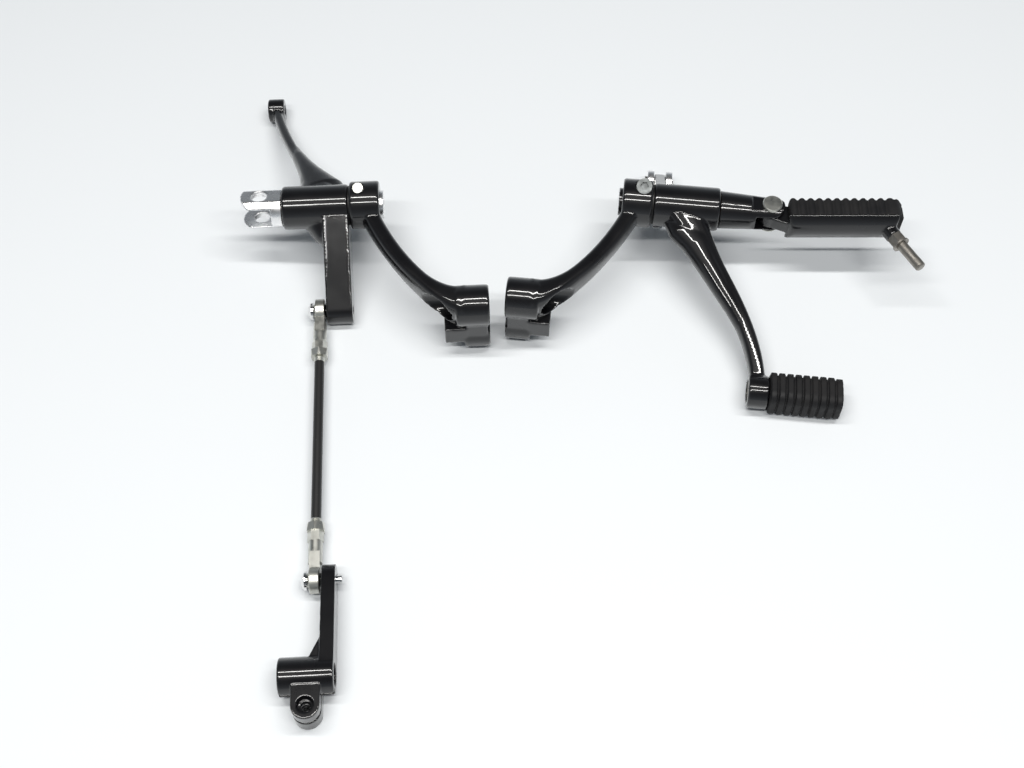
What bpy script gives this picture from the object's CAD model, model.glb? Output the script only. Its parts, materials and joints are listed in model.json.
import json
import math
import bmesh
import bpy
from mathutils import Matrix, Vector

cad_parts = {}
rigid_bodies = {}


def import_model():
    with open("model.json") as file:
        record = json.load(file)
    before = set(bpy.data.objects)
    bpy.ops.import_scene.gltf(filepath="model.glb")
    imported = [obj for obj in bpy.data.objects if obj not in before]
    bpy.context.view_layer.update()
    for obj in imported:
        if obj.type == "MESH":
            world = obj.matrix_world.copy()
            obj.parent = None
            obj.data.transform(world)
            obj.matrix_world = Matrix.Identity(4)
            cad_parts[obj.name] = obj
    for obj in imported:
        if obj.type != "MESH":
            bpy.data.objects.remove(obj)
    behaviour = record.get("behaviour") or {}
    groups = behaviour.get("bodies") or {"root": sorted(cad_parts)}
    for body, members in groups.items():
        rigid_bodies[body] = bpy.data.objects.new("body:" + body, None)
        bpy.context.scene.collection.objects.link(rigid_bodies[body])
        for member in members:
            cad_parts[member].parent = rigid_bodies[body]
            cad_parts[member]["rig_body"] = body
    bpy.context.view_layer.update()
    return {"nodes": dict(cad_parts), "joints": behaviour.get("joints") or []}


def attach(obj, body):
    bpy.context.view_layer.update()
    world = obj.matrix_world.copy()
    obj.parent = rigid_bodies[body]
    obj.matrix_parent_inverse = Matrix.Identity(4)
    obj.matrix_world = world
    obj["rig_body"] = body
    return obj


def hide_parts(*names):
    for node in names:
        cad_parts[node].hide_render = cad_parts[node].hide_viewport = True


# Forward controls on a white bench: shift side left, brake side right

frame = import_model()
nodes = frame["nodes"]
joints = {j["name"]: j for j in frame["joints"]}
mm = 0.001
up = Vector((0, 0, 1))
print("frame loaded,", len(nodes), "nodes")


# Camera

shot = {
    "lens": 50.3,
    "sensor": 36.0,
    "place": (-53.0, -589.4, 954.9),   # mm, from the middle of the bench
    "aim": (-53.0, -4.2, 0.0),
}


def makeCamera():
    camera = bpy.data.objects.new("camera", bpy.data.cameras.new("camera"))
    camera.data.lens = shot["lens"]
    camera.data.sensor_width = shot["sensor"]
    camera.data.clip_start = 0.01
    camera.location = Vector(shot["place"]) * mm
    aim = Vector(shot["aim"]) * mm - camera.location
    camera.rotation_euler = aim.to_track_quat("-Z", "Y").to_euler()
    bpy.context.scene.collection.objects.link(camera)
    bpy.context.scene.camera = camera


makeCamera()


# Small helpers for node materials, and for the room's light

def newMaterial(name, color, metallic, roughness, **sockets):
    mat = bpy.data.materials.new(name)
    mat.use_nodes = True
    shader = shaderOf(mat)
    shader.inputs["Base Color"].default_value = (*color, 1)
    shader.inputs["Metallic"].default_value = metallic
    shader.inputs["Roughness"].default_value = roughness
    for socket, value in sockets.items():
        shader.inputs[socket.replace("_", " ")].default_value = value
    return mat


def shaderOf(mat):
    return mat.node_tree.nodes["Principled BSDF"]


def addNode(owner, kind, **inputs):
    node = owner.node_tree.nodes.new("ShaderNode" + kind)
    for socket, value in inputs.items():
        node.inputs[socket.replace("_", " ")].default_value = value
    return node


def wire(owner, source, target):
    owner.node_tree.links.new(source, target)


def addMath(owner, operation, *values):
    node = addNode(owner, "Math")
    node.operation = operation
    for socket, value in zip(node.inputs, values):
        if isinstance(value, bpy.types.NodeSocket):
            wire(owner, value, socket)
        else:
            socket.default_value = value
    return node


def objectNoise(mat, scale, detail=3.0, roughness=0.5):
    place = addNode(mat, "TexCoord")
    noise = addNode(mat, "TexNoise", Scale=scale, Detail=detail, Roughness=roughness)
    wire(mat, place.outputs["Object"], noise.inputs["Vector"])
    return noise.outputs["Fac"]


def ranged(mat, value, low, high, start=0.35, end=0.65):
    span = addNode(mat, "MapRange")
    for socket, number in (("From Min", start), ("From Max", end), ("To Min", low), ("To Max", high)):
        span.inputs[socket].default_value = number
    wire(mat, value, span.inputs["Value"])
    return span.outputs["Result"]


# Bump, its depth in mm
def addBump(mat, height, depth, strength, coat=False):
    bump = addNode(mat, "Bump", Strength=strength, Distance=depth * mm)
    wire(mat, height, bump.inputs["Height"])
    wire(mat, bump.outputs["Normal"], shaderOf(mat).inputs["Normal"])
    if coat:
        wire(mat, bump.outputs["Normal"], shaderOf(mat).inputs["Coat Normal"])


def blendColor(mat, mask, dark, light):
    mix = addNode(mat, "Mix")
    mix.data_type = "RGBA"
    mix.inputs["A"].default_value = (*dark, 1)
    mix.inputs["B"].default_value = (*light, 1)
    wire(mat, mask, mix.inputs["Factor"])
    wire(mat, mix.outputs["Result"], shaderOf(mat).inputs["Base Color"])


# Finishes

def glossPaint():
    mat = newMaterial("gloss_black", (0.005, 0.005, 0.006), 0.0, 0.4, Coat_Weight=1.0, Coat_Roughness=0.03)
    shaderOf(mat).inputs["Specular IOR Level"].default_value = 0.15
    addBump(mat, objectNoise(mat, 260.0, 2.0), 0.04, 0.25, coat=True)
    cloud = objectNoise(mat, 38.0, 4.0)
    wire(mat, ranged(mat, cloud, 0.26, 0.4), shaderOf(mat).inputs["Roughness"])
    return mat


def mouldedRubber():
    mat = newMaterial("moulded_rubber", (0.012, 0.012, 0.013), 0.0, 0.55)
    shaderOf(mat).inputs["Specular IOR Level"].default_value = 0.26
    dust = objectNoise(mat, 55.0, 6.0, 0.6)
    blendColor(mat, ranged(mat, dust, 0.0, 1.0, 0.4, 0.75), (0.009, 0.009, 0.010), (0.018, 0.017, 0.017))
    wire(mat, ranged(mat, dust, 0.5, 0.72), shaderOf(mat).inputs["Roughness"])
    addBump(mat, objectNoise(mat, 1500.0), 0.08, 0.35)
    return mat


# Bare or plated metal; tint is how dark its clouds are
def platedSteel(name, color, roughness, tint=0.82, bump=0.35):
    mat = newMaterial(name, color, 1.0, roughness)
    cloud = objectNoise(mat, 140.0, 5.0, 0.6)
    blendColor(mat, ranged(mat, cloud, 0.0, 1.0), [c * tint for c in color], color)
    wire(mat, ranged(mat, cloud, roughness * 1.3, roughness * 0.8), shaderOf(mat).inputs["Roughness"])
    addBump(mat, objectNoise(mat, 700.0), 0.03, bump)
    return mat


# Satin paint of the rod, with small pale chips
def satinBlack():
    color = (0.013, 0.013, 0.013)
    mat = newMaterial("satin_black", color, 0.0, 0.42)
    chips = objectNoise(mat, 900.0, 1.0)
    blendColor(mat, ranged(mat, chips, 0.0, 1.0, 0.79, 0.81), color, (0.25, 0.25, 0.24))
    addBump(mat, objectNoise(mat, 420.0), 0.04, 0.3)
    return mat


paint = glossPaint()
rubber = mouldedRubber()
zinc = platedSteel("zinc_plate", (0.66, 0.66, 0.61), 0.34)
polished = platedSteel("polished_metal", (0.90, 0.90, 0.90), 0.27, tint=0.95, bump=0.15)
chrome = platedSteel("chromed_ball", (0.82, 0.82, 0.81), 0.09, tint=0.95, bump=0.05)
bronze = platedSteel("sintered_bronze", (0.52, 0.37, 0.2), 0.42)
dullSteel = platedSteel("dull_steel", (0.33, 0.31, 0.28), 0.42, tint=0.7)
screwSteel = platedSteel("screw_steel", (0.17, 0.18, 0.18), 0.42, tint=0.75)
oiledSteel = platedSteel("oiled_steel", (0.04, 0.04, 0.04), 0.5)
rodPaint = satinBlack()
print("materials made")


# Places and directions that come from the joints

def jointPoint(name):
    return Vector(joints[name]["pos_m"])


# A side's hub, with outward along its lever axis, and away from the viewer
def sideOf(joint):
    outward = Vector(joints[joint]["axis"]).normalized()
    away = up.cross(outward) if outward.x > 0 else outward.cross(up)
    return jointPoint(joint), outward, away


shiftSide = sideOf("shift_pivot")
brakeSide = sideOf("brake_pivot")


# Rings of points that are bridged into a closed shape

def addRing(bm, segments):
    ring = bmesh.ops.create_circle(bm, cap_ends=False, segments=segments, radius=1.0)["verts"]
    return ring, list(dict.fromkeys(edge for vert in ring for edge in vert.link_edges))


def bridgeRings(bm, loops):
    for first, second in zip(loops, loops[1:]):
        bmesh.ops.bridge_loops(bm, edges=first + second)
    for loop in (loops[0], loops[-1]):
        bmesh.ops.contextual_create(bm, geom=loop)


# Limbs that broaden the castings' arms where they leave their hubs

# Outward, away, up, width and height of each station, in mm from the hub's inboard end
limbs = {
    # Root of the toe peg's arm, and the fillet of the rod's arm
    "shift_lever": [
        (shiftSide, [(22, 13, -4, 44, 22), (23.4, 20, -5.2, 38, 22.4), (27.4, 30, -7.8, 28, 21),
                     (32.8, 42, -11, 19.5, 19), (38.4, 54, -14.4, 14.5, 16.8), (43.6, 66, -18, 11.6, 14.6),
                     (48.2, 78, -21.7, 9, 10)]),
        (shiftSide, [(18, -13.8, -9.5, 35, 24), (15, -18, -11.5, 29, 25), (12.4, -23, -14.5, 24, 25),
                     (10.6, -29, -18, 20.4, 23), (10.4, -36, -22, 18, 20)]),
    ],
    # Upper half of the pedal's arm
    "brake_lever": [
        (brakeSide, [(27, -11, -2, 40, 15), (30, -21, -3.4, 34, 19), (36.6, -32, -5.8, 24.5, 18.5),
                     (45.5, -47, -10, 18.5, 17), (57, -64, -15.5, 15.5, 15.5), (68, -79.5, -20.5, 13.4, 14.5),
                     (77.5, -94, -25, 12.5, 14), (84, -108, -29.5, 12.3, 14), (88, -122, -33.5, 12, 14)]),
    ],
}
limbSegments = 36
limbRoundness = 0.92   # 1 is an ellipse, less is boxier


def addLimb(bm, side, stations):
    origin, outward, away = side
    points = [origin + (outward * s[0] + away * s[1] + up * s[2]) * mm for s in stations]
    loops = []
    for index, (*_, width, height) in enumerate(stations):
        ahead = points[min(index + 1, len(points) - 1)] - points[max(index - 1, 0)]
        if index == 0:
            ahead = away * math.copysign(1, stations[1][1] - stations[0][1])
        ahead.normalize()
        across = ahead.cross(up).normalized()
        lift = across.cross(ahead).normalized()
        ring, loop = addRing(bm, limbSegments)
        loops.append(loop)
        for vert in ring:
            wide, high = (math.copysign(abs(c) ** limbRoundness, c) for c in vert.co.xy)
            vert.co = points[index] + (across * wide * width + lift * high * height) * mm / 2
    bridgeRings(bm, loops)


# Hubs and bosses: from and to along the lever axis, and radius, in mm
turned = {
    "left_bracket": (shiftSide, -23.2, -2.8, 19.0),
    "shift_lever": (shiftSide, 2.2, 50.3, 17.2),
    "right_bracket": (brakeSide, -23.2, -2.8, 19.0),
    "brake_lever": (brakeSide, 2.2, 50.3, 17.2),
}
turnedReach = 0.35   # mm


# Vertices close to a turned surface go back onto it, so that its reflections run straight
def pressRound(mesh, side, start, end, radius):
    origin, outward, _ = side
    for vert in mesh.vertices:
        offset = vert.co - origin
        along = offset.dot(outward)
        if not start * mm <= along <= end * mm:
            continue
        spoke = offset - outward * along
        if abs(spoke.length - radius * mm) < turnedReach * mm:
            vert.co = origin + outward * along + spoke * (radius * mm / spoke.length)


# Soft pieces: a welded copy of the solid, remeshed so that its edges and joins soften like a casting's

weld = 0.002   # mm
softPieces = {
    # Name, voxel in mm, smoothing passes, materials, slot
    "left_bracket": ("leftBracketCasting", 0.8, 12, [paint], "black_paint"),
    "right_bracket": ("rightBracketCasting", 0.8, 12, [paint], "black_paint"),
    "shift_lever": ("shiftLeverCasting", 0.75, 10, [paint], "black_paint"),
    "brake_lever": ("brakeLeverCasting", 0.75, 10, [paint], "black_paint"),
    "shaft_lever": ("shaftLeverCasting", 0.6, 6, [paint], "black_paint"),
    "peg_core": ("footpegCasting", 0.7, 6, [paint], "black_paint"),
    "right_peg_support": ("rightPegSupportForging", 0.6, 5, [paint, polished], "black_paint"),
    "brake_pad": ("brakePadRubber", 0.6, 3, [rubber], "rubber"),
    "peg_rubber": ("footpegRubber", 0.62, 3, [rubber], "rubber"),
    "left_peg_support": ("leftPegSupportForging", 0.6, 3, [polished], "bare_metal"),
    "brake_rod_clevis": ("brakeRodFork", 0.45, 4, [polished], "bare_metal"),
}


def weldedCopy(name, node):
    bm = bmesh.new()
    bm.from_mesh(nodes[node].data)
    bmesh.ops.remove_doubles(bm, verts=bm.verts, dist=weld * mm)
    for side, stations in limbs.get(node, ()):
        addLimb(bm, side, stations)
    mesh = bpy.data.meshes.new(name)
    bm.to_mesh(mesh)
    bm.free()
    piece = bpy.data.objects.new(name, mesh)
    bpy.context.scene.collection.objects.link(piece)
    return piece


def softenMesh(piece, voxel, passes):
    grid = piece.modifiers.new("grid", "REMESH")
    grid.mode = "VOXEL"
    grid.voxel_size = voxel * mm
    soften = piece.modifiers.new("soften", "SMOOTH")
    soften.factor = 0.5
    soften.iterations = passes
    graph = bpy.context.evaluated_depsgraph_get()
    mesh = bpy.data.meshes.new_from_object(piece.evaluated_get(graph))
    piece.modifiers.clear()
    mesh.name = piece.name
    piece.data = mesh


def makeSoft(node, name, voxel, passes, mats, slot):
    piece = weldedCopy(name, node)
    softenMesh(piece, voxel, passes)
    mesh = piece.data
    if node in turned:
        pressRound(mesh, *turned[node])
    mesh.polygons.foreach_set("use_smooth", [True] * len(mesh.polygons))
    mesh.materials.clear()
    for mat in mats:
        mesh.materials.append(mat)
    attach(piece, nodes[node]["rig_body"])
    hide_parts(node)
    return piece


# The brake side's support is painted, but its shaft's end was turned bare afterwards
bareFrom = -27.4   # mm outward of the hub's inboard end


def bareEnd(mesh):
    origin, outward, _ = brakeSide
    for face in mesh.polygons:
        face.material_index = 1 if (face.center - origin).dot(outward) < bareFrom * mm else 0


made = {node: makeSoft(node, *settings) for node, settings in softPieces.items()}
bareEnd(made["right_peg_support"].data)
print("castings, forgings and rubbers softened")


# Finishes of the pieces that keep their CAD mesh

finishes = {
    "left_lock_screw": zinc, "right_lock_screw": screwSteel,
    "left_thrust_washer": oiledSteel, "right_thrust_washer": oiledSteel,
    "shift_bush": bronze, "brake_bush": bronze,
    "upper_joint_bolt": chrome, "lower_joint_bolt": chrome,
    "upper_joint_ball": chrome, "lower_joint_ball": chrome,
    "upper_rod_end": zinc, "lower_rod_end": zinc,
    "upper_lock_nut": zinc, "lower_lock_nut": zinc,
    "shift_rod": rodPaint,
    "brake_rod_pin": dullSteel, "pad_bolt": dullSteel,
    "peg_pin": zinc, "peg_clip": zinc, "peg_spring_washer": zinc,
    "feeler_nut": dullSteel, "feeler_pin": dullSteel,
}
for node, mat in finishes.items():
    mesh = nodes[node].data
    if not mesh.materials:
        mesh.materials.append(mat)
    for index in range(len(mesh.materials)):
        mesh.materials[index] = mat
print("finishes assigned")


# Bare thread that shows beyond each lock nut, in mm from the ball

thread = {"start": 44.5, "turns": 4, "pitch": 1.0, "root": 3.78, "crest": 4.15, "segments": 40}


def makeThread(name, ball, ahead):
    bm = bmesh.new()
    loops = []
    side = ahead.orthogonal().normalized()
    other = ahead.cross(side)
    for step in range(2 * thread["turns"] + 1):
        radius = thread["crest"] if step % 2 else thread["root"]
        middle = ball + ahead * (thread["start"] + step * thread["pitch"] / 2) * mm
        ring, loop = addRing(bm, thread["segments"])
        loops.append(loop)
        for vert in ring:
            vert.co = middle + (side * vert.co.x + other * vert.co.y) * radius * mm
    bridgeRings(bm, loops)
    bmesh.ops.recalc_face_normals(bm, faces=bm.faces)
    mesh = bpy.data.meshes.new(name)
    bm.to_mesh(mesh)
    bm.free()
    mesh.materials.append(zinc)
    piece = bpy.data.objects.new(name, mesh)
    bpy.context.scene.collection.objects.link(piece)
    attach(piece, "shift_rod")


upperBall = jointPoint("upper_ball_swivel")
lowerBall = jointPoint("lower_ball_swivel")
alongRod = (upperBall - lowerBall).normalized()
makeThread("lowerRodThread", lowerBall, alongRod)
makeThread("upperRodThread", upperBall, -alongRod)
print("threads made")


# Bench and light, in metres

bench = {"size": 6.0, "color": (0.82, 0.85, 0.875), "roughness": 0.55}
warmWhite = (1.0, 0.985, 0.96)
lamps = {
    # Two long tubes across the bench, and a small panel over its left end
    "tube1": {"size": (2.6, 0.11), "place": (0, 0.12, 2.2), "power": 34.0, "color": warmWhite},
    "tube2": {"size": (2.6, 0.11), "place": (0, -0.87, 2.2), "power": 34.0, "color": warmWhite},
    "panel": {"size": (0.36, 0.14), "place": (-0.58, -0.99, 2.2), "power": 1.8, "color": (1, 1, 1)},
}
room = {"color": (0.80, 0.86, 0.92), "ceiling": 0.05, "walls": 0.6, "falloff": 2.0}


def makeBench():
    bm = bmesh.new()
    bmesh.ops.create_grid(bm, x_segments=1, y_segments=1, size=bench["size"] / 2)
    mesh = bpy.data.meshes.new("bench")
    bm.to_mesh(mesh)
    bm.free()
    top = bpy.data.objects.new("bench", mesh)
    bpy.context.scene.collection.objects.link(top)
    mesh.materials.append(newMaterial("bench_white", bench["color"], 0.0, bench["roughness"]))


def makeLamp(name, settings):
    lamp = bpy.data.lights.new(name, "AREA")
    lamp.shape = "RECTANGLE"
    lamp.size, lamp.size_y = settings["size"]
    lamp.energy = settings["power"]
    lamp.color = settings["color"]
    holder = bpy.data.objects.new(name, lamp)
    holder.location = settings["place"]
    bpy.context.scene.collection.objects.link(holder)


# Dark overhead and lighter towards the walls
def makeRoom():
    world = bpy.data.worlds.new("room")
    world.use_nodes = True
    background = world.node_tree.nodes["Background"]
    background.inputs["Color"].default_value = (*room["color"], 1)
    split = addNode(world, "SeparateXYZ")
    wire(world, addNode(world, "TexCoord").outputs["Generated"], split.inputs[0])
    low = addMath(world, "SUBTRACT", 1.0, split.outputs["Z"])
    low.use_clamp = True
    fall = addMath(world, "POWER", low.outputs[0], room["falloff"])
    level = addMath(world, "MULTIPLY_ADD", fall.outputs[0], room["walls"], room["ceiling"])
    wire(world, level.outputs[0], background.inputs["Strength"])
    bpy.context.scene.world = world


makeBench()
for name, settings in lamps.items():
    makeLamp(name, settings)
makeRoom()
bpy.context.scene.view_settings.view_transform = "Standard"
print("bench and light set")
